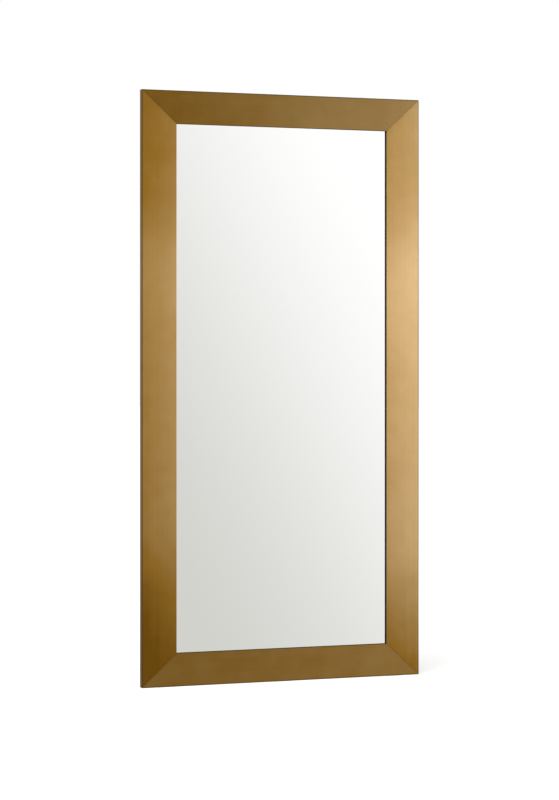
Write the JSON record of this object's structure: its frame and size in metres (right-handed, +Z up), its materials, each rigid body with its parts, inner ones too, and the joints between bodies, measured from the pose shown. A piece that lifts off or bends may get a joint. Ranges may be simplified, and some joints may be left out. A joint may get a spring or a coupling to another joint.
{
  "type": "leaning floor mirror",
  "caption": "Tall leaning floor mirror in a flat, mitred, brass-clad frame, with a black reveal round the glass and D-ring hangers on its back.",
  "frame": {"origin": "on the floor, under the middle of the frame's width and depth, on the underside of the centre foot pad", "axes": "+X to the right seen from the front, +Y back through the depth, +Z up; the brass face and the glass look along -Y"},
  "size_m": [1.016, 0.0322, 2.0335],
  "materials": {
    "brass": "antique brushed",
    "black_wood": "black lacquer",
    "mirror_glass": "polished",
    "glazing_tape": "foam tape",
    "rubber": "matte",
    "white_nylon": "smooth",
    "backing_board": "hardboard",
    "zinc_steel": "zinc plated",
    "beech": "planed"
  },
  "bodies": {
    "frame": {"brass_left_stile": "brass", "core_left_stile": "black_wood", "brass_right_stile": "brass", "core_right_stile": "black_wood", "brass_top_rail": "brass", "core_top_rail": "black_wood", "brass_bottom_rail": "brass", "core_bottom_rail": "black_wood", "mirror_glass": "mirror_glass", "glazing_tape_left": "glazing_tape", "glazing_tape_right": "glazing_tape", "glazing_tape_bottom": "glazing_tape", "glazing_tape_top": "glazing_tape", "setting_blocks": "rubber", "backing_board": "backing_board", "backing_screws": "zinc_steel", "mitre_tenon_top_left": "beech", "corner_bracket_top_left": "zinc_steel", "wall_bumper_top_left": "rubber", "mitre_tenon_top_right": "beech", "corner_bracket_top_right": "zinc_steel", "wall_bumper_top_right": "rubber", "mitre_tenon_bottom_left": "beech", "corner_bracket_bottom_left": "zinc_steel", "wall_bumper_bottom_left": "rubber", "mitre_tenon_bottom_right": "beech", "corner_bracket_bottom_right": "zinc_steel", "wall_bumper_bottom_right": "rubber", "bracket_screws": "zinc_steel", "hanger_strap_left": "zinc_steel", "hanger_strap_right": "zinc_steel", "hanger_screws": "zinc_steel", "foot_pad_left": "white_nylon", "foot_pad_centre": "white_nylon", "foot_pad_right": "white_nylon"},
    "ring_left": {"hanger_ring_left": "zinc_steel"},
    "ring_right": {"hanger_ring_right": "zinc_steel"}
  },
  "joints": [
    {"name": "ring_left_swing", "type": "hinge", "parent": "frame", "child": "ring_left", "pos_m": [-0.447, 0.0156, 1.7335], "axis": [1, 0, 0], "range_deg": [0, 180]},
    {"name": "ring_right_swing", "type": "hinge", "parent": "frame", "child": "ring_right", "pos_m": [0.447, 0.0156, 1.7335], "axis": [1, 0, 0], "range_deg": [0, 180]}
  ]
}
